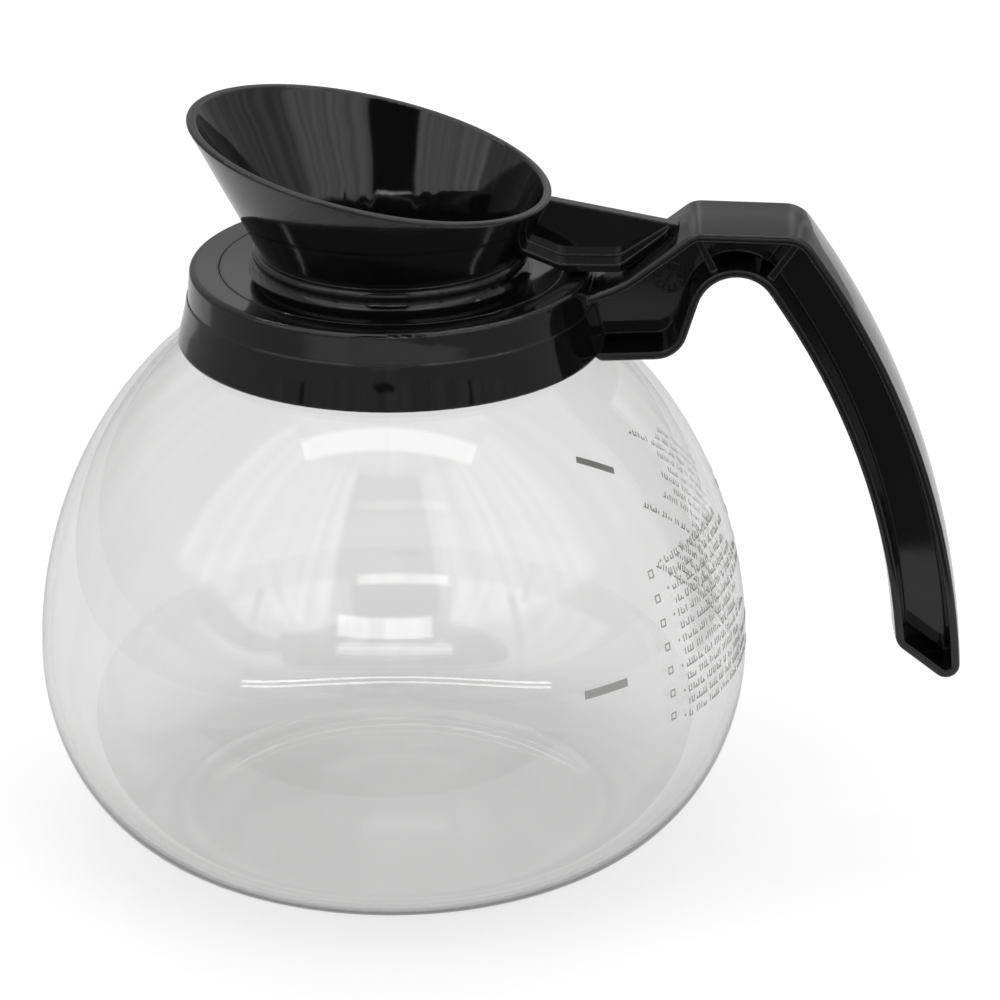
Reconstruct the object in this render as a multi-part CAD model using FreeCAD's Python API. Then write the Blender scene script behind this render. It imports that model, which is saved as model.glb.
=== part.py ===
"""Glass coffee decanter with a moulded collar, grip and pouring funnel.

Frame: the bowl's axis is Z and the table is z = 0. The handle lies on +X and the
pouring lip on -X. Everything is in millimetres.
"""
import FreeCAD, Part
import math
import os

from FreeCAD import Vector

# ---- driving dimensions --------------------------------------------------------------

# glass bowl
BOWL_R = 82.5            # widest radius
BELLY_Z = 45.0           # height of the widest circle
BASE_R = 48.0            # flat foot
SHOULDER_H = 92.8        # upper semi-axis of the bowl above the widest circle
GLASS_T = 2.0            # side wall
BASE_T = 2.4             # floor
NECK_R = 36.0            # outside of the short neck
NECK_FILLET_R = 4.0      # concave blend from the shoulder into the neck
BEAD_R = 1.7             # fire-polished lip bead
BEAD_OUT = 0.4           # bead centre outside the neck's outer wall
BEAD_Z = 132.9           # height of the bead's centre
BEAD_INNER_DROP = 1.0    # the bead runs into the inner wall this far under its centre
BEAD_INNER_SAG = 0.7     # and leaves that wall by this much at the same height above it

# collar
SKIRT_Z = 121.2          # lower edge of the skirt
SKIRT_R = 48.9           # radius there
SKIRT_T = 1.45
SKIRT_ROUND = 0.4
FLARE = 0.47             # share of the skirt's flare reached half way down
WAIST_Z = 131.5          # crease between the flared skirt and the upper band
WAIST_R = 46.5
WAIST_STEP = 0.2         # the skirt stands this far out from the band at the crease
RIM_Z = 138.6            # top of the collar
RIM_R = 46.0
RIM_ROUND = 1.3
SEAT_R = 39.25           # opening that takes the funnel's flange
DECK_DIP = 0.35          # fall of the deck from the rim to the opening
LEDGE_R = 36.4           # inner edge of the ledge under the flange
LEDGE_TOP_Z = 136.8
LEDGE_BOTTOM_Z = 135.4
COLLAR_BORE_R = 43.9
RIDGE_R = 42.9           # snap ridge under the retaining ring
RIDGE_TOP_Z = 128.2
RIDGE_FLAT = 0.8         # upright part of the ridge
RIDGE_RAMP = 1.9         # where its ramp meets the skirt's inner wall, under the top
RIDGE_RAMP_OUT = 0.4

# snap joint between funnel and collar
SNAP_LOW_Z = 137.0
SNAP_HIGH_Z = 137.6
SNAP_DEPTH = 0.4
SNAP_EASE = 0.1          # play above the snap bead

# pouring funnel
CONE_FOOT_Z = 143.0
CONE_FOOT_R = 30.0
CONE_SLOPE = 0.52        # growth of the radius for each millimetre of height
CONE_H = 40.0            # height of the uncut cone
FUNNEL_T = 2.1
LIP_Z = 164.1            # height of the rim's plane on the axis
LIP_TILT = 0.219         # fall of the rim's plane for each millimetre along X
LIP_ROUND = 0.55
BOSS_R = 30.0
BOSS_SINK = 0.5          # the boss stands this far under the deck's inner edge
BOSS_FILLET = 2.4
FOOT_BEAD_R = 1.4
FOOT_BEAD_RING_R = 30.2
FOOT_BEAD_Z = 141.7
THROAT_R = 27.8
FLANGE_GAP = 0.2         # joint line between the flange and the collar
FLANGE_PLATE_T = 1.2     # plate between the spigot and the throat
SPIGOT_R = 33.3          # short tube that centres the funnel in the neck
SPIGOT_T = 1.6
SPIGOT_Z = 129.5

# arm from the funnel to the grip: a ledge along an upright web
ARM_HALF_W = 7.5
ARM_T = 1.8
ARM_WEB_T = 2.8
ARM_WEB_X = 65.4         # end of the web
ARM_TAPER_X = 52.0       # from here on the ledge narrows
ARM_TIP_X = 63.1         # end of the ledge
ARM_TIP_HALF_W = 4.0
ARM_TIP_ROUND = 2.5
ARM_FOOT_X = 58.0        # the web stands on the grip from here to its end

# grip: an I-beam with a flange all round
GRIP_HALF_W = 11.9
FLANGE_T = 2.0           # at the flange's edges
FLANGE_DRAFT = 0.8       # extra thickness at the web
CROWN = 0.5
GRIP_WEB_T = 2.6
EDGE_ROUND = 0.9
INNER_EDGE_ROUND = 0.4
RIB_T = 1.8
RIB_INSET = 2.2          # ribs stop this far short of the flange edges
GLASS_CLEAR = 0.45       # air between the grip's root and the glass
ROOT_OVERLAP = 1.0       # the grip runs this far into the collar's band

# seal and split ring inside the collar
GASKET_R_IN = 34.5
GASKET_R_OUT = 39.0
GASKET_LOW_Z = 133.7
RING_TOP_Z = 131.1
RING_R_OUT = 43.8
RING_GAP = 1.2           # slit between the two halves
RING_AIR = 0.18          # air between the ring and the glass
RING_NECK_AIR = 0.1

# outer line of the grip's flange seen from the side: (x, z, corner radius)
GRIP_OUTLINE = [
    (36.0, 131.9, 0.0),
    (52.3, 138.0, 22.0),
    (68.6, 150.6, 5.4),      # knuckle above the collar
    (93.4, 150.0, 7.3),      # knuckle above the fingers
    (128.5, 99.4, 195.0),    # long outer curve of the grip
    (132.5, 38.0, 3.2),      # outer corner of the tip
    (117.1, 50.0, 4.5),      # inner corner of the tip
    (112.7, 95.6, 172.0),    # long inner curve of the grip
    (75.6, 151.8, 9.0),      # arch over the index finger
    (65.8, 120.3, 7.5),
    (36.0, 119.0, 0.0),
]

# two stiffening ribs in each pocket: ends (x, z) inside the flanges
RIBS = [((69.6, 148.6), (73.6, 140.4)), ((92.2, 148.0), (85.9, 139.0))]

# top of the arm's ledge seen from the side: (x, z, corner radius)
ARM_OUTLINE = [
    (20.0, 149.2, 0.0),
    (38.8, 141.45, 6.0),
    (52.0, 141.45, 5.0),
    (66.0, 150.65, 0.0),
]
ARM_WEB_TOP = [(36.4, 154.8), (ARM_WEB_X, 148.9)]

# share of a quarter arc's radius between its corner and its middle
BULGE = 1 - math.sqrt(0.5)

# two points nearer than this are the same point
TOUCH = 0.01


# ---- helpers -------------------------------------------------------------------------

def xz(point):
    """A point of the X-Z plane as a vector."""
    return Vector(point[0], 0, point[1])


def line(start, end):
    return Part.LineSegment(xz(start), xz(end)).toShape()


def arc(start, middle, end):
    return Part.Arc(xz(start), xz(middle), xz(end)).toShape()


def lines_through(points):
    return [line(a, b) for a, b in zip(points, points[1:])]


def quarter_ellipse(centre, semi_r, semi_z, from_angle, to_angle):
    """Elliptic arc in the X-Z plane, angles in radians from +X towards +Z."""
    if semi_r >= semi_z:
        major = Vector(centre[0] + semi_r, 0, centre[1])
        minor = Vector(centre[0], 0, centre[1] + semi_z)
        curve = Part.Ellipse(major, minor, xz(centre))
        return Part.Arc(curve, from_angle, to_angle).toShape()
    major = Vector(centre[0], 0, centre[1] + semi_z)
    minor = Vector(centre[0] - semi_r, 0, centre[1])
    curve = Part.Ellipse(major, minor, xz(centre))
    quarter = math.pi / 2
    return Part.Arc(curve, from_angle - quarter, to_angle - quarter).toShape()


def revolve(edges):
    """Solid of revolution about Z from a closed loop of edges in the X-Z plane."""
    face = Part.Face(Part.Wire(Part.__sortEdges__(edges)))
    return face.revolve(Vector(0, 0, 0), Vector(0, 0, 1), 360)


def ring_of_lines(points):
    """Solid of revolution from a closed polygon of (r, z) points."""
    return revolve(lines_through(points + [points[0]]))


def cylinder(radius, low_z, high_z):
    return Part.makeCylinder(radius, high_z - low_z, Vector(0, 0, low_z))


def slab(edges, low_y, high_y):
    """Closed loop of X-Z edges made into a plate between two heights along Y."""
    face = Part.Face(Part.Wire(Part.__sortEdges__(edges)))
    plate = face.extrude(Vector(0, high_y - low_y, 0))
    plate.translate(Vector(0, low_y, 0))
    return plate


def rounded_path(outline):
    """Edges of a polyline of (x, z, radius) whose corners are tangent arcs."""
    edges = []
    here = outline[0][:2]
    for before, corner, after in zip(outline, outline[1:], outline[2:]):
        cx, cz, radius = corner
        into = math.hypot(cx - before[0], cz - before[1])
        out = math.hypot(after[0] - cx, after[1] - cz)
        ux, uz = (cx - before[0]) / into, (cz - before[1]) / into
        vx, vz = (after[0] - cx) / out, (after[1] - cz) / out
        turn = math.acos(max(-1.0, min(1.0, ux * vx + uz * vz)))
        reach = radius * math.tan(turn / 2)
        start = (cx - ux * reach, cz - uz * reach)
        end = (cx + vx * reach, cz + vz * reach)
        toward = (vx - ux, vz - uz)
        size = math.hypot(*toward)
        sag = radius * (1 / math.cos(turn / 2) - 1)
        middle = (cx + toward[0] / size * sag, cz + toward[1] / size * sag)
        edges.append(line(here, start))
        edges.append(arc(start, middle, end))
        here = end
    edges.append(line(here, outline[-1][:2]))
    return edges


def sweep(path_edges, section):
    """Section swept along a path in the X-Z plane, kept upright about Y."""
    pipe = Part.BRepOffsetAPI.MakePipeShell(Part.Wire(path_edges))
    pipe.setBiNormalMode(Vector(0, 1, 0))
    pipe.add(section, False, False)
    pipe.build()
    pipe.makeSolid()
    return pipe.shape()


def place_section(pieces, start, towards):
    """Wire of a section at a path's start, from lines and arcs in (y, n).

    n points out of the loop that the path makes, square to it.
    """
    length = math.hypot(towards[0] - start[0], towards[1] - start[1])
    tx, tz = (towards[0] - start[0]) / length, (towards[1] - start[1]) / length
    edges = []
    for piece in pieces:
        spots = [Vector(start[0] - tz * n, y, start[1] + tx * n) for y, n in piece]
        if len(spots) == 2:
            edges.append(Part.LineSegment(*spots).toShape())
        else:
            edges.append(Part.Arc(*spots).toShape())
    return Part.Wire(edges)


# ---- glass ---------------------------------------------------------------------------

def shoulder_angle(semi_r, semi_z, neck_r, fillet_r):
    """Ellipse angle where a fillet of that radius leaves for the neck's wall."""
    low, high = 0.5, 1.5
    for _ in range(60):
        angle = (low + high) / 2
        normal_r = math.cos(angle) / semi_r
        normal_z = math.sin(angle) / semi_z
        normal_r /= math.hypot(normal_r, normal_z)
        over = semi_r * math.cos(angle) - neck_r - fillet_r * (1 - normal_r)
        low, high = (angle, high) if over > 0 else (low, angle)
    return angle


def neck_fillet(semi_r, semi_z, neck_r, fillet_r):
    """Shoulder end angle, and the start, middle and end of the fillet into the neck."""
    angle = shoulder_angle(semi_r, semi_z, neck_r, fillet_r)
    start = (semi_r * math.cos(angle), BELLY_Z + semi_z * math.sin(angle))
    lean = math.atan2(math.sin(angle) / semi_z, math.cos(angle) / semi_r)
    centre = (neck_r + fillet_r, start[1] + fillet_r * math.sin(lean))
    middle = (centre[0] - fillet_r * math.cos(lean / 2), centre[1] - fillet_r * math.sin(lean / 2))
    return angle, start, middle, (neck_r, centre[1])


def bowl_side(inset, floor_z):
    """Edges of one face of the bowl from the floor's centre up to the neck's foot."""
    semi_r = BOWL_R - inset
    semi_z = SHOULDER_H - inset
    fillet_r = NECK_FILLET_R + inset
    angle, start, middle, end = neck_fillet(semi_r, semi_z, NECK_R - inset, fillet_r)
    low = quarter_ellipse((BASE_R, BELLY_Z), semi_r - BASE_R, BELLY_Z - floor_z, -math.pi / 2, 0)
    high = quarter_ellipse((0, BELLY_Z), semi_r, semi_z, 0, angle)
    return [line((0, floor_z), (BASE_R, floor_z)), low, high, arc(start, middle, end)], end


def bowl_room(air, top_z):
    """The bowl's outer shape grown by some air, filled, with its neck run up to a height."""
    grown, neck = bowl_side(-air, 0.0)
    return revolve(grown + lines_through([neck, (neck[0], top_z), (0, top_z), (0, 0)]))


def glass_bowl():
    """Bowl, short neck and fire-polished lip bead."""
    outer, outer_neck = bowl_side(0.0, 0.0)
    inner, inner_neck = bowl_side(GLASS_T, BASE_T)
    bead_r = NECK_R + BEAD_OUT
    bead_top = (bead_r, BEAD_Z + BEAD_R)
    bead_foot = (NECK_R, BEAD_Z - math.sqrt(BEAD_R ** 2 - BEAD_OUT ** 2))
    inner_r = NECK_R - GLASS_T
    bead_end = (inner_r, BEAD_Z - BEAD_INNER_DROP)
    lip = [
        line(outer_neck, bead_foot),
        arc(bead_foot, (bead_r + BEAD_R, BEAD_Z), bead_top),
        arc(bead_top, (inner_r + BEAD_INNER_SAG, BEAD_Z + BEAD_INNER_DROP), bead_end),
        line(bead_end, inner_neck),
    ]
    axis = [line((0, 0), (0, BASE_T))]
    return revolve(outer + lip + inner + axis)


# ---- collar and grip -----------------------------------------------------------------

def collar_ring():
    """Skirt, band, deck and inner ledge of the collar, as one turned solid."""
    edge_top = (SKIRT_R, SKIRT_Z + SKIRT_ROUND)
    edge_low = (SKIRT_R - SKIRT_ROUND, SKIRT_Z)
    edge_mid = (SKIRT_R - SKIRT_ROUND * BULGE, SKIRT_Z + SKIRT_ROUND * BULGE)
    flare_mid = (WAIST_R + FLARE * (SKIRT_R - WAIST_R), (WAIST_Z + SKIRT_Z) / 2)
    skirt_inner = (SKIRT_R - SKIRT_T, SKIRT_Z)
    band_top = (RIM_R, RIM_Z - RIM_ROUND)
    rim_mid = (RIM_R - RIM_ROUND * BULGE, RIM_Z - RIM_ROUND * BULGE)
    rim_in = (RIM_R - RIM_ROUND, RIM_Z)
    snap_r = SEAT_R + SNAP_DEPTH
    outside = [
        line(skirt_inner, edge_low),
        arc(edge_low, edge_mid, edge_top),
        arc(edge_top, flare_mid, (WAIST_R + WAIST_STEP, WAIST_Z)),
        line((WAIST_R + WAIST_STEP, WAIST_Z), (WAIST_R, WAIST_Z)),
        line((WAIST_R, WAIST_Z), band_top),
        arc(band_top, rim_mid, rim_in),
    ]
    inside = [
        rim_in, (SEAT_R, RIM_Z - DECK_DIP),
        (SEAT_R, SNAP_HIGH_Z), (snap_r, SNAP_HIGH_Z), (snap_r, SNAP_LOW_Z), (SEAT_R, SNAP_LOW_Z),
        (SEAT_R, LEDGE_TOP_Z), (LEDGE_R, LEDGE_TOP_Z), (LEDGE_R, LEDGE_BOTTOM_Z),
        (COLLAR_BORE_R, LEDGE_BOTTOM_Z), (COLLAR_BORE_R, RIDGE_TOP_Z),
        (RIDGE_R, RIDGE_TOP_Z), (RIDGE_R, RIDGE_TOP_Z - RIDGE_FLAT),
        (COLLAR_BORE_R + RIDGE_RAMP_OUT, RIDGE_TOP_Z - RIDGE_RAMP), skirt_inner,
    ]
    return revolve(outside + lines_through(inside))


def flange_section():
    """Flange section in (y, n): crowned outer face at n = 0, inner face thicker at the web."""
    w, t = GRIP_HALF_W, FLANGE_T
    o, i = EDGE_ROUND, INNER_EDGE_ROUND
    web = GRIP_WEB_T / 2
    deep = -t - FLANGE_DRAFT
    return [
        [(-w, -t + i), (-w + BULGE * i, -t + BULGE * i), (-w + i, -t)],
        [(-w + i, -t), (-web, deep)],
        [(-web, deep), (web, deep)],
        [(web, deep), (w - i, -t)],
        [(w - i, -t), (w - BULGE * i, -t + BULGE * i), (w, -t + i)],
        [(w, -t + i), (w, -o)],
        [(w, -o), (w - BULGE * o, -BULGE * o), (w - o, 0)],
        [(w - o, 0), (0, CROWN), (-w + o, 0)],
        [(-w + o, 0), (-w + BULGE * o, -BULGE * o), (-w, -o)],
        [(-w, -o), (-w, -t + i)],
    ]


def grip_flange():
    """The flange, swept all round the grip's outline."""
    section = place_section(flange_section(), GRIP_OUTLINE[0], GRIP_OUTLINE[1])
    return sweep(rounded_path(GRIP_OUTLINE), section)


def grip_plate(thickness):
    """Everything inside the grip's outline, as a plate about the plane of symmetry."""
    closing = line(GRIP_OUTLINE[-1][:2], GRIP_OUTLINE[0][:2])
    return slab(rounded_path(GRIP_OUTLINE) + [closing], -thickness / 2, thickness / 2)


def rib(ends):
    """Thin plate across both pockets between two points of the flanges."""
    (x0, z0), (x1, z1) = ends
    length = math.hypot(x1 - x0, z1 - z0)
    depth = 2 * (GRIP_HALF_W - RIB_INSET)
    plate = Part.makeBox(length, depth, RIB_T, Vector(0, -depth / 2, -RIB_T / 2))
    plate.rotate(Vector(0, 0, 0), Vector(0, 1, 0), -math.degrees(math.atan2(z1 - z0, x1 - x0)))
    plate.translate(Vector(x0, 0, z0))
    return plate


def handle_collar():
    """Collar and I-beam grip, moulded in one."""
    grip = grip_flange().fuse([grip_plate(GRIP_WEB_T)] + [rib(ends) for ends in RIBS])
    grip = grip.cut(cylinder(WAIST_R - ROOT_OVERLAP, 0.0, 2 * RIM_Z))
    grip = grip.cut(bowl_room(GLASS_CLEAR, SKIRT_Z))
    return collar_ring().fuse(grip)


# ---- funnel and its arm --------------------------------------------------------------

def cone_r(z):
    """Outer radius of the funnel's cone at a height."""
    return CONE_FOOT_R + CONE_SLOPE * (z - CONE_FOOT_Z)


def funnel_body():
    """Cone, foot bead, boss, flange and spigot as one turned solid, before the lip cut."""
    top_z = CONE_FOOT_Z + CONE_H
    wall = FUNNEL_T * math.hypot(1, CONE_SLOPE)
    bead_top = (cone_r(FOOT_BEAD_Z + FOOT_BEAD_R), FOOT_BEAD_Z + FOOT_BEAD_R)
    bead_mid = (FOOT_BEAD_RING_R + FOOT_BEAD_R, FOOT_BEAD_Z)
    bead_low = (BOSS_R, FOOT_BEAD_Z - FOOT_BEAD_R)
    deck_z = RIM_Z - DECK_DIP
    boss_z = deck_z - BOSS_SINK
    boss_low = (BOSS_R, boss_z + BOSS_FILLET)
    boss_mid = (BOSS_R + BOSS_FILLET * BULGE, boss_z + BOSS_FILLET * BULGE)
    boss_out = (BOSS_R + BOSS_FILLET, boss_z)
    flange_r = SEAT_R - FLANGE_GAP
    snap = (flange_r + SNAP_DEPTH, (SNAP_LOW_Z + SNAP_HIGH_Z) / 2)
    spigot_in = SPIGOT_R - SPIGOT_T
    plate_z = LEDGE_TOP_Z - FLANGE_PLATE_T
    outside = [
        line((cone_r(top_z), top_z), bead_top),
        arc(bead_top, bead_mid, bead_low),
        line(bead_low, boss_low),
        arc(boss_low, boss_mid, boss_out),
    ]
    rest = [
        boss_out, (flange_r, deck_z), (flange_r, SNAP_HIGH_Z - SNAP_EASE), snap,
        (flange_r, SNAP_LOW_Z + SNAP_EASE), (flange_r, LEDGE_TOP_Z),
        (SPIGOT_R, LEDGE_TOP_Z), (SPIGOT_R, SPIGOT_Z), (spigot_in, SPIGOT_Z),
        (spigot_in, plate_z), (THROAT_R, plate_z), (THROAT_R, CONE_FOOT_Z),
        (cone_r(top_z) - wall, top_z), (cone_r(top_z), top_z),
    ]
    return revolve(outside + lines_through(rest))


def lip_cutter():
    """Everything above the tilted plane of the pouring lip."""
    size = 4 * BOWL_R
    block = Part.makeBox(size, size, size, Vector(-size / 2, -size / 2, 0))
    block.rotate(Vector(0, 0, 0), Vector(0, 1, 0), math.degrees(math.atan(LIP_TILT)))
    block.translate(Vector(0, 0, LIP_Z))
    return block


def lip_edges(shape):
    """The two edges round the lip, inner and outer."""
    found = []
    for edge in shape.Edges:
        span = edge.LastParameter - edge.FirstParameter
        spots = [edge.valueAt(edge.FirstParameter + share * span) for share in (0.1, 0.4, 0.7)]
        if all(abs(p.z - (LIP_Z - LIP_TILT * p.x)) < TOUCH for p in spots):
            found.append(edge)
    return found


def arm_plan():
    """Plan of the arm's ledge: straight, then narrowing to a rounded tip."""
    corners = [
        (0, -ARM_HALF_W), (ARM_TAPER_X, -ARM_HALF_W), (ARM_TIP_X, -ARM_TIP_HALF_W),
        (ARM_TIP_X, ARM_TIP_HALF_W), (ARM_TAPER_X, ARM_HALF_W), (0, ARM_HALF_W),
    ]
    loop = Part.makePolygon([Vector(x, y, LEDGE_TOP_Z) for x, y in corners + corners[:1]])
    block = Part.Face(loop).extrude(Vector(0, 0, RIM_Z))
    tip = [e for e in block.Edges
           if all(abs(v.X - ARM_TIP_X) < TOUCH for v in e.Vertexes) and e.Length > 2 * ARM_TIP_HALF_W]
    return block.makeFillet(ARM_TIP_ROUND, tip)


def arm():
    """Upright web with a ledge along its foot, from the funnel to the grip."""
    (x0, z0), (x1, z1) = ARM_OUTLINE[0][:2], ARM_OUTLINE[-1][:2]
    under_z = CONE_FOOT_Z / 2
    under = lines_through([(x1, z1), (x1, under_z), (x0, under_z), (x0, z0)])
    below_top = slab(rounded_path(ARM_OUTLINE) + under, -ARM_HALF_W, ARM_HALF_W)
    below_ledge = below_top.copy()
    below_ledge.translate(Vector(ARM_T / 2, 0, -ARM_T))
    ledge = below_top.cut(below_ledge).common(arm_plan())

    root_top = (cone_r(ARM_WEB_TOP[0][1]) - FUNNEL_T / 2, ARM_WEB_TOP[0][1])
    root_low = (CONE_FOOT_R - FUNNEL_T / 2, CONE_FOOT_Z)
    foot = [(ARM_WEB_X, LEDGE_TOP_Z), (CONE_FOOT_R, LEDGE_TOP_Z), root_low]
    web = slab(lines_through([root_low, root_top, ARM_WEB_TOP[1]] + foot), -ARM_WEB_T / 2, ARM_WEB_T / 2)
    beyond = Part.makeBox(CONE_H, ARM_WEB_T, RIM_Z, Vector(ARM_FOOT_X, -ARM_WEB_T / 2, under_z))
    return ledge.fuse(web.cut(below_ledge.cut(beyond)))


def pour_funnel():
    """Funnel with its arm, moulded in one."""
    cone = funnel_body().cut(lip_cutter())
    cone = cone.makeFillet(LIP_ROUND, lip_edges(cone))
    throat = cylinder(THROAT_R, SPIGOT_Z, CONE_FOOT_Z)
    mouth_r = THROAT_R + CONE_H * CONE_SLOPE
    mouth = Part.makeCone(THROAT_R, mouth_r, CONE_H, Vector(0, 0, CONE_FOOT_Z))
    grip = [grip_flange(), grip_plate(2 * GRIP_HALF_W)]
    return cone.fuse(arm().cut([throat, mouth] + grip))


# ---- hidden seal and split ring ------------------------------------------------------

def neck_gasket(glass):
    """Flat ring between the collar's ledge and the lip bead, pressed over the bead."""
    seal = ring_of_lines([
        (GASKET_R_IN, GASKET_LOW_Z), (GASKET_R_OUT, GASKET_LOW_Z),
        (GASKET_R_OUT, LEDGE_BOTTOM_Z), (GASKET_R_IN, LEDGE_BOTTOM_Z)])
    return seal.cut(glass)


def retaining_ring():
    """Full ring under the lip bead, following the neck's fillet with a little air."""
    inner_r = NECK_R + RING_NECK_AIR
    block = ring_of_lines([
        (inner_r, RIDGE_TOP_Z), (RING_R_OUT, RIDGE_TOP_Z),
        (RING_R_OUT, RING_TOP_Z), (inner_r, RING_TOP_Z)])
    return block.cut(bowl_room(RING_AIR, RING_TOP_Z + RING_GAP))


def ring_half(side):
    """One half of the retaining ring, on the +Y or the -Y side."""
    size = 2 * RING_TOP_Z
    half = Part.makeBox(size, size, size, Vector(-size / 2, RING_GAP / 2, 0))
    if side < 0:
        half.translate(Vector(0, -size - RING_GAP, 0))
    return retaining_ring().common(half)


# ---- write one file for each piece ---------------------------------------------------

def only_solid(shape, name):
    """The single solid inside a boolean's result."""
    solids = shape.Solids
    if len(solids) != 1 or not solids[0].isValid():
        raise SystemExit(f"{name}: {len(solids)} solids, valid {[s.isValid() for s in solids]}")
    return solids[0]


def main():
    os.makedirs("parts", exist_ok=True)
    glass = glass_bowl()
    pieces = {
        "glass_bowl": glass,
        "handle_collar": handle_collar(),
        "pour_funnel": pour_funnel(),
        "neck_gasket": neck_gasket(glass),
        "retaining_ring_front": ring_half(-1),
        "retaining_ring_back": ring_half(+1),
    }
    for name, shape in pieces.items():
        solid = only_solid(shape, name)
        solid.exportStep(f"parts/{name}.step")
        box = solid.optimalBoundingBox()
        print(f"{name}: {solid.Volume / 1000:.2f} cm3, x {box.XMin:.1f}..{box.XMax:.1f}, "
              f"y {box.YMin:.1f}..{box.YMax:.1f}, z {box.ZMin:.1f}..{box.ZMax:.1f}")


main()
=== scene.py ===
import math
import random

import bpy
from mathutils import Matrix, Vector


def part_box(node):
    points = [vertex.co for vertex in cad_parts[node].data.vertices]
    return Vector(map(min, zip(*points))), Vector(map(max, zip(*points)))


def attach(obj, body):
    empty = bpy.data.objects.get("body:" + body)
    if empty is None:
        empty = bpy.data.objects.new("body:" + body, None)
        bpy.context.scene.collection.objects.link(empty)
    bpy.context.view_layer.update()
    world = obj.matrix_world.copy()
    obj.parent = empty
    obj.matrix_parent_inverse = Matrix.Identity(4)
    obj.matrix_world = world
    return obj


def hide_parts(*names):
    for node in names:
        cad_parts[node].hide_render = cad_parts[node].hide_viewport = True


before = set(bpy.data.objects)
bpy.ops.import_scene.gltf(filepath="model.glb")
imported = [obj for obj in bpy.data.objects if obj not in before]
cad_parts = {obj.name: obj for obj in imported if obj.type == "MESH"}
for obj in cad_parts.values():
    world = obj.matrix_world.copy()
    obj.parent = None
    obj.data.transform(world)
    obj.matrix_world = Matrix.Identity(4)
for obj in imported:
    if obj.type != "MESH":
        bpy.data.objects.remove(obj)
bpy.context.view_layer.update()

MM = 0.001
WHITE = (1.0, 1.0, 1.0, 1.0)
BLACK = (0.0, 0.0, 0.0, 1.0)

# ---- sizes, in metres, that the looks need beside the frame ---------------------------

bowl_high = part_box("glass_bowl")[1]
BOWL_R = bowl_high.x                # widest radius
BELLY_Z = 45.0 * MM                 # height of the widest circle
BASE_R = 48.0 * MM                  # flat foot
SHOULDER_H = 92.8 * MM              # upper semi-axis of the bowl
GLASS_T = 2.0 * MM
BASE_T = 2.4 * MM
NECK_R = 36.0 * MM
NECK_FILLET_R = 4.0 * MM
BEAD_R = 1.7 * MM
BEAD_CENTRE = (NECK_R + 0.4 * MM, bowl_high.z - BEAD_R)
FOOT_RISE = 0.7 * MM                # the foot's centre is pushed up by this much

WEB_FACE_Y = -1.25 * MM             # just inside the near face of the grip's web
WELD = 1e-6                         # CAD vertices nearer than this are joined
CREASE = math.radians(28)           # CAD edges sharper than this stay crisp


# ---- mesh helpers ---------------------------------------------------------------------

def add_mesh(name, verts, faces, material, smooth=True):
    mesh = bpy.data.meshes.new(name)
    mesh.from_pydata(verts, [], faces)
    mesh.validate()
    mesh.materials.append(material)
    for polygon in mesh.polygons:
        polygon.use_smooth = smooth
    obj = bpy.data.objects.new(name, mesh)
    bpy.context.scene.collection.objects.link(obj)
    return obj


def spin(name, profile, segments, material):
    """Closed solid of revolution about Z from (r, z) points that start and end on the axis."""
    verts, faces, rings = [], [], []
    for r, z in profile:
        if r == 0.0:
            rings.append([len(verts)])
            verts.append((0.0, 0.0, z))
            continue
        rings.append(list(range(len(verts), len(verts) + segments)))
        for k in range(segments):
            angle = 2 * math.pi * k / segments
            verts.append((r * math.cos(angle), r * math.sin(angle), z))
    for low, high in zip(rings, rings[1:]):
        for k in range(segments):
            n = (k + 1) % segments
            if len(low) == 1:
                faces.append((low[0], high[n], high[k]))
            elif len(high) == 1:
                faces.append((low[k], low[n], high[0]))
            else:
                faces.append((low[k], low[n], high[n], high[k]))
    return add_mesh(name, verts, faces, material)


# ---- materials ------------------------------------------------------------------------

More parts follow.
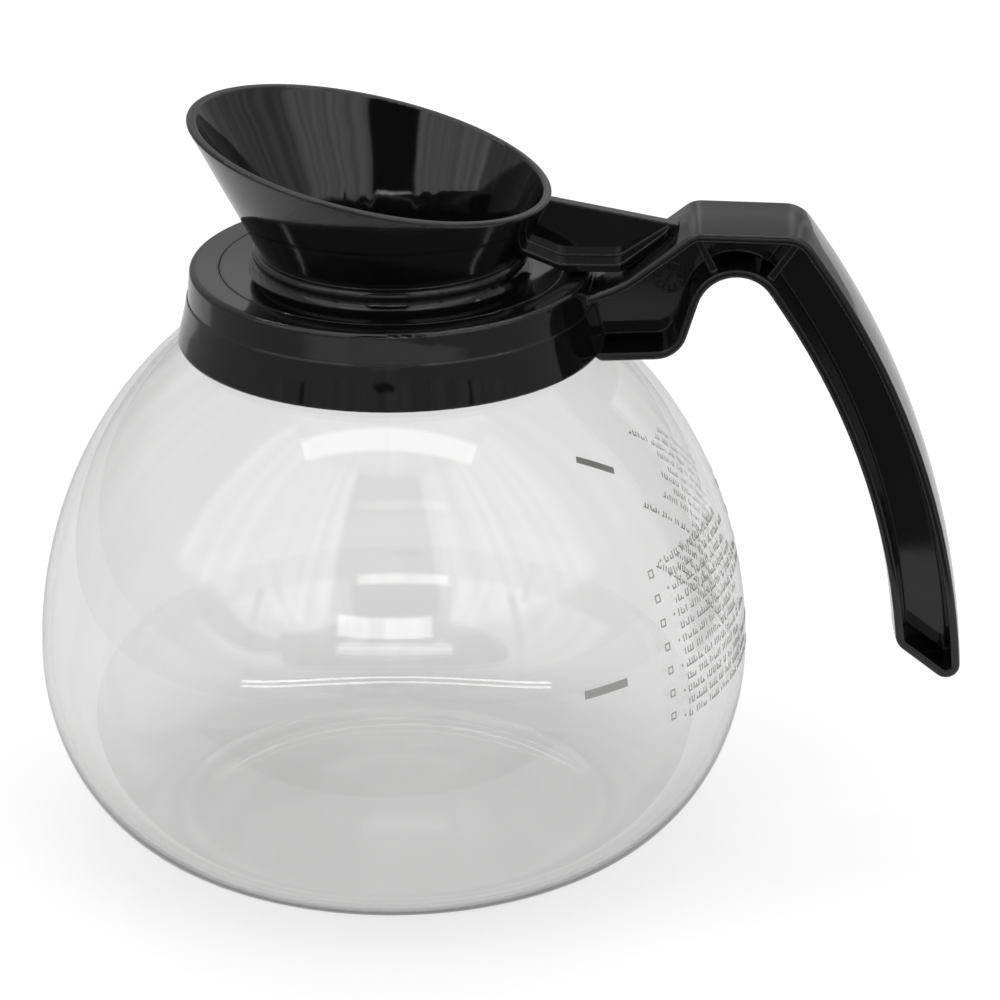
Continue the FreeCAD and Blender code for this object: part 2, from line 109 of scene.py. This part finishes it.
class Nodes:
    """Short forms for building one material's node tree."""

    def __init__(self, name):
        self.material = bpy.data.materials.new(name)
        self.material.use_nodes = True
        self.tree = self.material.node_tree
        self.shader = self.tree.nodes["Principled BSDF"]
        self.coords = self.add("ShaderNodeTexCoord")

    def add(self, kind, **settings):
        node = self.tree.nodes.new(kind)
        for key, value in settings.items():
            setattr(node, key, value)
        return node

    def link(self, source, target):
        self.tree.links.new(source, target)

    def noise(self, scale, detail=3.0, rough=0.5):
        node = self.add("ShaderNodeTexNoise")
        node.inputs["Scale"].default_value = scale
        node.inputs["Detail"].default_value = detail
        node.inputs["Roughness"].default_value = rough
        self.link(self.coords.outputs["Object"], node.inputs["Vector"])
        return node.outputs["Fac"]

    def ramp(self, source, low, high, from_low=0.35, from_high=0.65):
        node = self.add("ShaderNodeMapRange")
        node.inputs["From Min"].default_value = from_low
        node.inputs["From Max"].default_value = from_high
        node.inputs["To Min"].default_value = low
        node.inputs["To Max"].default_value = high
        self.link(source, node.inputs["Value"])
        return node.outputs["Result"]

    def add_up(self, a, b):
        node = self.add("ShaderNodeMath", operation="ADD")
        self.link(a, node.inputs[0])
        self.link(b, node.inputs[1])
        return node.outputs[0]

    def bump(self, height, strength, distance, edge_round=0.0):
        """Bump from a height, on top of normals that turn softly round the edges."""
        node = self.add("ShaderNodeBump")
        if edge_round:
            bevel = self.add("ShaderNodeBevel", samples=6)
            bevel.inputs["Radius"].default_value = edge_round
            self.link(bevel.outputs["Normal"], node.inputs["Normal"])
        node.inputs["Strength"].default_value = strength
        node.inputs["Distance"].default_value = distance
        self.link(height, node.inputs["Height"])
        self.link(node.outputs["Normal"], self.shader.inputs["Normal"])

    def edge_wear(self, radius):
        """1 on convex edges, broken up by noise, and 0 on flat faces."""
        bevel = self.add("ShaderNodeBevel", samples=4)
        bevel.inputs["Radius"].default_value = radius
        geometry = self.add("ShaderNodeNewGeometry")
        dot = self.add("ShaderNodeVectorMath", operation="DOT_PRODUCT")
        self.link(bevel.outputs["Normal"], dot.inputs[0])
        self.link(geometry.outputs["Normal"], dot.inputs[1])
        turned = self.ramp(dot.outputs["Value"], 1.0, 0.0, 0.90, 0.99)
        patchy = self.ramp(self.noise(400.0, 3.0), 0.2, 1.0, 0.4, 0.7)
        node = self.add("ShaderNodeMath", operation="MULTIPLY")
        self.link(turned, node.inputs[0])
        self.link(patchy, node.inputs[1])
        return node.outputs[0]

    def mix_colour(self, factor, low, high):
        """Mix between a colour socket and a fixed colour."""
        node = self.add("ShaderNodeMix", data_type="RGBA")
        self.link(low, node.inputs["A"])
        node.inputs["B"].default_value = (*high, 1.0)
        self.link(factor, node.inputs["Factor"])
        return node.outputs["Result"]

    def mix(self, factor, low, high):
        """Mix between two fixed colours."""
        node = self.add("ShaderNodeMix", data_type="RGBA")
        node.inputs["A"].default_value = (*low, 1.0)
        node.inputs["B"].default_value = (*high, 1.0)
        self.link(factor, node.inputs["Factor"])
        return node.outputs["Result"]


def clear_glass():
    n = Nodes("clear_glass")
    n.shader.inputs["Transmission Weight"].default_value = 1.0
    n.shader.inputs["IOR"].default_value = 1.5
    film = n.noise(30.0)
    n.link(n.mix(film, (0.992, 0.992, 0.990), (0.998, 0.998, 0.996)), n.shader.inputs["Base Color"])
    n.link(n.ramp(film, 0.0, 0.012, 0.5, 0.8), n.shader.inputs["Roughness"])
    n.bump(n.noise(14.0, 1.0), 0.04, 0.002)
    tint = n.add("ShaderNodeVolumeAbsorption")
    tint.inputs["Color"].default_value = (0.42, 0.46, 0.40, 1.0)
    tint.inputs["Density"].default_value = 7.0
    n.link(tint.outputs["Volume"], n.tree.nodes["Material Output"].inputs["Volume"])
    return n.material


def black_plastic():
    n = Nodes("black_plastic")
    smear = n.noise(45.0, 4.0)
    wear = n.edge_wear(0.9 * MM)
    body = n.mix(smear, (0.0035, 0.0034, 0.0036), (0.006, 0.0058, 0.006))
    n.link(n.mix_colour(wear, body, (0.022, 0.021, 0.021)), n.shader.inputs["Base Color"])
    rough = n.add_up(n.ramp(smear, 0.045, 0.10), n.ramp(wear, 0.0, 0.10, 0.0, 1.0))
    n.link(rough, n.shader.inputs["Roughness"])
    n.shader.inputs["IOR"].default_value = 1.5
    n.bump(n.noise(130.0, 2.0), 0.05, 0.0002, edge_round=0.7 * MM)
    return n.material


def satin(name, dark, light, rough_low, rough_high):
    """Plain moulded material with a fine grain."""
    n = Nodes(name)
    n.link(n.mix(n.noise(200.0), dark, light), n.shader.inputs["Base Color"])
    n.link(n.ramp(n.noise(300.0), rough_low, rough_high), n.shader.inputs["Roughness"])
    n.bump(n.noise(1500.0), 0.1, 0.0001)
    return n.material


def enamel_print():
    n = Nodes("enamel_print")
    speck = n.noise(2500.0, 2.0)
    n.link(n.mix(speck, (0.33, 0.33, 0.31), (0.42, 0.42, 0.40)), n.shader.inputs["Base Color"])
    n.link(n.ramp(speck, 0.45, 0.7), n.shader.inputs["Roughness"])
    n.bump(speck, 0.2, 0.00005)
    return n.material


# ---- glass bowl -----------------------------------------------------------------------

def shoulder_end(semi_r, semi_z, neck_r, fillet_r):
    """Angle on the shoulder's ellipse where the fillet into the neck starts."""
    low, high = 0.5, 1.5
    for _ in range(60):
        angle = (low + high) / 2
        normal_r, normal_z = math.cos(angle) / semi_r, math.sin(angle) / semi_z
        normal_r /= math.hypot(normal_r, normal_z)
        over = semi_r * math.cos(angle) - neck_r - fillet_r * (1 - normal_r)
        low, high = (angle, high) if over > 0 else (low, angle)
    return angle


def bowl_side(inset, floor_z):
    """(r, z) points of one face of the bowl, from the axis up to the neck.

    The foot is pushed up a little, so the bowl stands on a ring.
    """
    semi_r, semi_z = BOWL_R - inset, SHOULDER_H - inset
    neck_r, fillet_r = NECK_R - inset, NECK_FILLET_R + inset
    foot_steps, side_steps, shoulder_steps, fillet_steps = 16, 40, 60, 8
    points = [(0.0, floor_z + FOOT_RISE)]
    for k in range(1, foot_steps):
        r = BASE_R * k / foot_steps
        points.append((r, floor_z + FOOT_RISE * (0.5 + 0.5 * math.cos(math.pi * r / BASE_R))))
    for k in range(side_steps + 1):
        angle = -math.pi / 2 + math.pi / 2 * k / side_steps
        points.append((BASE_R + (semi_r - BASE_R) * math.cos(angle),
                       BELLY_Z + (BELLY_Z - floor_z) * math.sin(angle)))
    end = shoulder_end(semi_r, semi_z, neck_r, fillet_r)
    for k in range(1, shoulder_steps + 1):
        angle = end * k / shoulder_steps
        points.append((semi_r * math.cos(angle), BELLY_Z + semi_z * math.sin(angle)))
    lean = math.atan2(math.sin(end) / semi_z, math.cos(end) / semi_r)
    centre = (neck_r + fillet_r, points[-1][1] + fillet_r * math.sin(lean))
    for k in range(1, fillet_steps + 1):
        angle = lean * (1 - k / fillet_steps)
        points.append((centre[0] - fillet_r * math.cos(angle),
                       centre[1] - fillet_r * math.sin(angle)))
    return points


def glass_bowl(material):
    """Bowl of real wall thickness, with its neck and lip bead."""
    outer = bowl_side(0.0, 0.0)
    inner = bowl_side(GLASS_T, BASE_T)
    bead, start, steps, segments = [], -1.25, 16, 192
    for k in range(steps + 1):
        angle = start + (math.pi - start) * k / steps
        bead.append((BEAD_CENTRE[0] + BEAD_R * math.cos(angle),
                     BEAD_CENTRE[1] + BEAD_R * math.sin(angle)))
    bead = [p for p in bead if p[0] >= NECK_R - GLASS_T]
    obj = spin("bowl_glass", outer + bead + inner[::-1], segments, material)
    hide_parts("glass_bowl")
    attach(obj, "root")


# ---- mould date clock -----------------------------------------------------------------

def mould_clock(material):
    """Small raised dial with ticks and a pointer on the grip's web."""
    centre = (63.4 * MM, 136.5 * MM)
    back, front = WEB_FACE_Y, WEB_FACE_Y - 0.5 * MM
    verts, faces = [], []

    def prism(outline):
        base, count = len(verts), len(outline)
        for y in (back, front):
            verts.extend((centre[0] + a, y, centre[1] + b) for a, b in outline)
        faces.append(tuple(base + k for k in range(count)))
        faces.append(tuple(base + count + k for k in reversed(range(count))))
        for k in range(count):
            n = (k + 1) % count
            faces.append((base + k, base + count + k, base + count + n, base + n))

    def bar(angle, start, end, width):
        c, s = math.cos(angle), math.sin(angle)
        box = [(start, -width / 2), (end, -width / 2), (end, width / 2), (start, width / 2)]
        prism([(r * c - w * s, r * s + w * c) for r, w in box])

    segments, inner, outer = 48, 3.35 * MM, 3.8 * MM
    base = len(verts)
    for k in range(segments):
        c, s = math.cos(2 * math.pi * k / segments), math.sin(2 * math.pi * k / segments)
        for r, y in ((inner, back), (outer, back), (outer, front), (inner, front)):
            verts.append((centre[0] + r * c, y, centre[1] + r * s))
    for k in range(segments):
        a, b = base + 4 * k, base + 4 * ((k + 1) % segments)
        for side in range(4):
            n = (side + 1) % 4
            faces.append((a + side, a + n, b + n, b + side))
    for hour in range(12):
        bar(math.radians(30 * hour), 1.9 * MM, 3.0 * MM, 0.42 * MM)
    bar(math.radians(60), -1.2 * MM, 1.3 * MM, 0.5 * MM)
    return add_mesh("mould_clock", verts, faces, material, smooth=False)


# ---- printed marks --------------------------------------------------------------------

def bowl_radius(z):
    """Outer radius of the bowl above its widest circle."""
    return BOWL_R * math.sqrt(1 - ((z - BELLY_Z) / SHOULDER_H) ** 2)


def patch(verts, faces, azimuth, z_low, arc_len, height):
    """Adds one thin printed bar that follows the bowl, starting at an azimuth in radians."""
    lift, film, step = 0.02 * MM, 0.04 * MM, 1.2 * MM
    steps = max(1, round(arc_len / step))
    r_mid = bowl_radius(z_low)
    base = len(verts)
    for k in range(steps + 1):
        angle = azimuth + arc_len / r_mid * k / steps
        for z in (z_low, z_low + height):
            for out in (lift, lift + film):
                r = bowl_radius(z) + out
                verts.append((r * math.cos(angle), r * math.sin(angle), z))
    for k in range(steps):
        a, b = base + 4 * k, base + 4 * (k + 1)
        faces += [(a + 1, b + 1, b + 3, a + 3), (a, a + 2, b + 2, b),
                  (a, b, b + 1, a + 1), (a + 2, a + 3, b + 3, b + 2)]
    last = base + 4 * steps
    faces += [(base, base + 1, base + 3, base + 2), (last, last + 2, last + 3, last + 1)]


def fill_mark(name, azimuth_deg, z_low, material):
    """Fill line: a short solid bar."""
    verts, faces = [], []
    width, height = 12.0 * MM, 1.9 * MM
    start = math.radians(azimuth_deg) - width / 2 / bowl_radius(z_low)
    patch(verts, faces, start, z_low, width, height)
    return add_mesh(name, verts, faces, material, smooth=False)


def square(verts, faces, azimuth, z, side, stroke):
    """Outline of a square, with its lower left corner at an azimuth in radians."""
    r = bowl_radius(z)
    right = azimuth + (side - stroke) / r
    patch(verts, faces, azimuth, z, stroke, side)
    patch(verts, faces, right, z, stroke, side)
    inner = azimuth + stroke / r
    for low in (z, z + side - stroke):
        patch(verts, faces, inner, low, side - 2 * stroke, stroke)


def scale_rows(name, azimuth_deg, z_top, rows, material, seed):
    """Rows of ticks in groups, every second row led by a dot, with squares beside them.

    The azimuth is that of the left end, seen from outside.
    """
    rng = random.Random(seed)
    verts, faces = [], []
    pitch, tall, stroke, step = 3.0 * MM, 1.6 * MM, 0.34 * MM, 1.05 * MM
    dot, dot_in, dot_up, indent = 0.55 * MM, 0.3 * MM, 0.45 * tall, 2.2 * MM
    start = math.radians(azimuth_deg)
    for row in range(rows):
        z = z_top - pitch * row
        r = bowl_radius(z)
        if row % 2 == 0:
            patch(verts, faces, start + dot_in / r, z + dot_up, dot, dot)
        along = indent
        end = rng.uniform(28, 46) * MM
        while along < end:
            for _ in range(rng.randint(2, 8)):
                height = rng.choice((1.0, 1.0, 0.6)) * tall
                patch(verts, faces, start + along / r, z, stroke, height)
                if rng.random() < 0.45:
                    patch(verts, faces, start + (along + stroke) / r, z, step - stroke, stroke)
                along += step
            along += step
    squares, side, gap, drop = 7, 1.8 * MM, 4.8 * MM, 1.5 * MM
    for mark in range(squares):
        z = z_top - drop - (rows - 2) * pitch * mark / (squares - 1)
        square(verts, faces, start - gap / bowl_radius(z), z, side, stroke)
    return add_mesh(name, verts, faces, material, smooth=False)


# ---- studio ---------------------------------------------------------------------------

class Field:
    """A number that varies over the sky, as a node socket that can be computed with."""

    def __init__(self, tree, socket):
        self.tree = tree
        self.socket = socket

    def op(self, operation, *others):
        node = self.tree.nodes.new("ShaderNodeMath")
        node.operation = operation
        self.tree.links.new(self.socket, node.inputs[0])
        for k, other in enumerate(others, start=1):
            if isinstance(other, Field):
                self.tree.links.new(other.socket, node.inputs[k])
            else:
                node.inputs[k].default_value = other
        return Field(self.tree, node.outputs[0])

    def ramp(self, start, end, low=0.0, high=1.0):
        """Smooth step from low to high between two values."""
        node = self.tree.nodes.new("ShaderNodeMapRange")
        node.interpolation_type = "SMOOTHSTEP"
        self.tree.links.new(self.socket, node.inputs["Value"])
        node.inputs["From Min"].default_value = start
        node.inputs["From Max"].default_value = end
        node.inputs["To Min"].default_value = low
        node.inputs["To Max"].default_value = high
        return Field(self.tree, node.outputs["Result"])

    def within(self, low, high, soft):
        """1 between two values and 0 outside them, with soft ends."""
        return self.ramp(low - soft, low + soft).op("MULTIPLY", self.ramp(high - soft, high + soft, 1.0, 0.0))

    def dim(self, mask, level):
        """Multiplied by the level where the mask is 1."""
        return self.op("MULTIPLY", mask.op("MULTIPLY_ADD", level - 1.0, 1.0))


def tent(tree):
    """Brightness of a white light tent by direction, with its seams and its camera opening.

    Angles are in degrees. Azimuth 0 is in front of the bowl and height 0 is the horizon.
    """
    coords = tree.nodes.new("ShaderNodeTexCoord")
    split = tree.nodes.new("ShaderNodeSeparateXYZ")
    tree.links.new(coords.outputs["Generated"], split.inputs[0])
    x, y, z = (Field(tree, split.outputs[axis]) for axis in "XYZ")
    azimuth = x.op("ARCTAN2", y.op("MULTIPLY", -1.0)).op("DEGREES")
    height = z.op("ARCSINE").op("DEGREES")
    side = azimuth.op("ABSOLUTE")

    walls = height.ramp(10.0, 20.0, 0.40, 0.60)
    roof = height.ramp(58.0, 66.0, 0.0, 0.55)
    panels = side.within(20.0, 80.0, 2.0).op("MULTIPLY", height.within(15.0, 60.0, 2.0))
    light = walls.op("ADD", roof).op("ADD", panels.op("MULTIPLY", 0.75))

    seams = side.within(43.6, 46.4, 0.3).op("MULTIPLY", height.ramp(19.0, 23.0, 1.0, 0.0))
    light = light.dim(seams, 0.08)
    opening = side.ramp(18.0, 20.0, 1.0, 0.0).op("MULTIPLY", height.within(20.5, 60.0, 1.0))
    light = light.dim(opening, 0.02)
    strip = side.ramp(15.0, 17.0, 1.0, 0.0).op("MULTIPLY", height.within(14.5, 20.0, 0.5))
    light = light.op("ADD", strip.op("MULTIPLY", 3.0))

    lens_azimuth, lens_height, lens_half_w, lens_half_h = -1.0, 3.5, 6.0, 2.0
    across = azimuth.op("ADD", -lens_azimuth).op("DIVIDE", lens_half_w).op("POWER", 2.0)
    up = height.op("ADD", -lens_height).op("DIVIDE", lens_half_h).op("POWER", 2.0)
    light = light.dim(across.op("ADD", up).ramp(0.8, 1.2, 1.0, 0.0), 0.03)

    folds = tree.nodes.new("ShaderNodeTexNoise")
    folds.noise_dimensions = "1D"
    folds.inputs["Scale"].default_value = 0.16
    folds.inputs["Detail"].default_value = 2.0
    tree.links.new(azimuth.socket, folds.inputs["W"])
    return light.op("MULTIPLY", Field(tree, folds.outputs["Fac"]).ramp(0.35, 0.65, 0.75, 1.1))


def floor(size):
    """White table that looks a little brighter to the camera than in reflections."""
    paint = Nodes("floor_white")
    paint.shader.inputs["Base Color"].default_value = (0.42, 0.42, 0.42, 1.0)
    paint.shader.inputs["Emission Color"].default_value = WHITE
    seen = paint.add("ShaderNodeLightPath").outputs["Is Camera Ray"]
    paint.link(paint.ramp(seen, 0.42, 0.68, 0.0, 1.0), paint.shader.inputs["Emission Strength"])
    paint.shader.inputs["Roughness"].default_value = 0.9
    paint.shader.inputs["Specular IOR Level"].default_value = 0.0
    z = -0.2 * MM
    corners = [(-size, -size, z), (size, -size, z), (size, size, z), (-size, size, z)]
    add_mesh("floor", corners, [(0, 1, 2, 3)], paint.material)


def add_card(name, corners, level):
    """A flat card of even brightness that only shows as a reflection."""
    paint = Nodes(name)
    paint.shader.inputs["Base Color"].default_value = BLACK
    paint.shader.inputs["Specular IOR Level"].default_value = 0.0
    paint.shader.inputs["Emission Color"].default_value = WHITE
    paint.shader.inputs["Emission Strength"].default_value = level
    card = add_mesh(name, corners, [(0, 1, 2, 3)], paint.material)
    for ray in ("visible_camera", "visible_diffuse", "visible_transmission", "visible_shadow"):
        setattr(card, ray, False)


def flat_card(name, left, right, far, near, z, level):
    """A card that lies level."""
    add_card(name, [(left, far, z), (right, far, z), (right, near, z), (left, near, z)], level)


def light_bar(name, y, length, width, power):
    """Light bar overhead, along X, that the camera doesn't see."""
    z = 0.55
    data = bpy.data.lights.new(name, "AREA")
    data.shape = "RECTANGLE"
    data.size, data.size_y = length, width
    data.energy = power
    obj = bpy.data.objects.new(name, data)
    obj.location = (0.0, y, z)
    obj.visible_camera = False
    bpy.context.scene.collection.objects.link(obj)


def sky():
    """The tent round the scene, which the camera sees as plain white."""
    world = bpy.data.worlds.new("studio")
    bpy.context.scene.world = world
    world.use_nodes = True
    tree = world.node_tree
    seen = Field(tree, tree.nodes.new("ShaderNodeLightPath").outputs["Is Camera Ray"])
    shown = seen.ramp(0.0, 1.0).op("MULTIPLY", 1.2)
    rest = seen.ramp(0.0, 1.0, 1.0, 0.0).op("MULTIPLY", tent(tree))
    background = tree.nodes["Background"]
    tree.links.new(shown.op("ADD", rest).socket, background.inputs["Strength"])
    background.inputs["Color"].default_value = WHITE


def studio():
    size = 4.0
    floor(size)
    flat_card("card_front", -0.20, 0.20, -0.62, -0.16, 1.0 * MM, 0.12)
    flat_card("card_low", 0.03, 0.093, -0.36, -0.295, 2.0 * MM, 0.5)
    wide, tall = 0.45, 0.14
    for name, x in (("card_left", -wide), ("card_right", wide)):
        corners = [(x, -size, 0.0), (x, size, 0.0), (x, size, tall), (x, -size, tall)]
        add_card(name, corners, 0.36)
    light_bar("bar_front", -0.19, 0.50, 0.07, 0.20)
    light_bar("bar_back", 0.12, 0.66, 0.018, 0.5)
    sky()
    bpy.context.scene.view_settings.view_transform = "Standard"


def camera():
    data = bpy.data.cameras.new("camera")
    data.sensor_width = 36.0
    data.lens = 172.8
    data.clip_end = 50.0
    obj = bpy.data.objects.new("camera", data)
    bpy.context.scene.collection.objects.link(obj)
    distance, height, swing = 1.0281, 0.5136, math.radians(3.3)
    obj.location = (distance * math.sin(swing), -distance * math.cos(swing), height)
    pitch, heading = math.radians(22.877), math.radians(-1.917)
    level = math.cos(pitch)
    aim = Vector((math.sin(heading) * level, math.cos(heading) * level, -math.sin(pitch)))
    obj.rotation_euler = aim.to_track_quat("-Z", "Y").to_euler()
    bpy.context.scene.camera = obj


# ---- the scene ------------------------------------------------------------------------

def dress(node, material):
    """Material and smooth shading with crisp creases for a CAD node that stays in view."""
    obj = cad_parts[node]
    obj.data.materials.clear()
    obj.data.materials.append(material)
    for polygon in obj.data.polygons:
        polygon.use_smooth = True
    weld = obj.modifiers.new("weld", "WELD")
    weld.merge_threshold = WELD
    split = obj.modifiers.new("split", "EDGE_SPLIT")
    split.split_angle = CREASE
    even = obj.modifiers.new("even", "WEIGHTED_NORMAL")
    even.mode = "FACE_AREA"
    even.keep_sharp = True


def add_piece(obj):
    """Fixes a mesh to the decanter."""
    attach(obj, "root")


camera()
studio()

black = black_plastic()
glass_bowl(clear_glass())
for part in ("handle_collar", "pour_funnel"):
    dress(part, black)
dress("neck_gasket", satin("silicone", (0.55, 0.55, 0.53), (0.66, 0.66, 0.64), 0.4, 0.6))
ring_plastic = satin("ring_plastic", (0.02, 0.02, 0.021), (0.03, 0.03, 0.031), 0.35, 0.55)
for part in ("retaining_ring_front", "retaining_ring_back"):
    dress(part, ring_plastic)

enamel = enamel_print()
marks = [
    fill_mark("fill_mark_front", -51.4, 61.0 * MM, enamel),
    fill_mark("fill_mark_back", 54.2, 62.2 * MM, enamel),
    scale_rows("scale_front", -34.5, 82.8 * MM, 13, enamel, 3),
    scale_rows("scale_back", 8.0, 83.0 * MM, 15, enamel, 4),
]
add_piece(mould_clock(black))
for mark in marks:
    add_piece(mark)
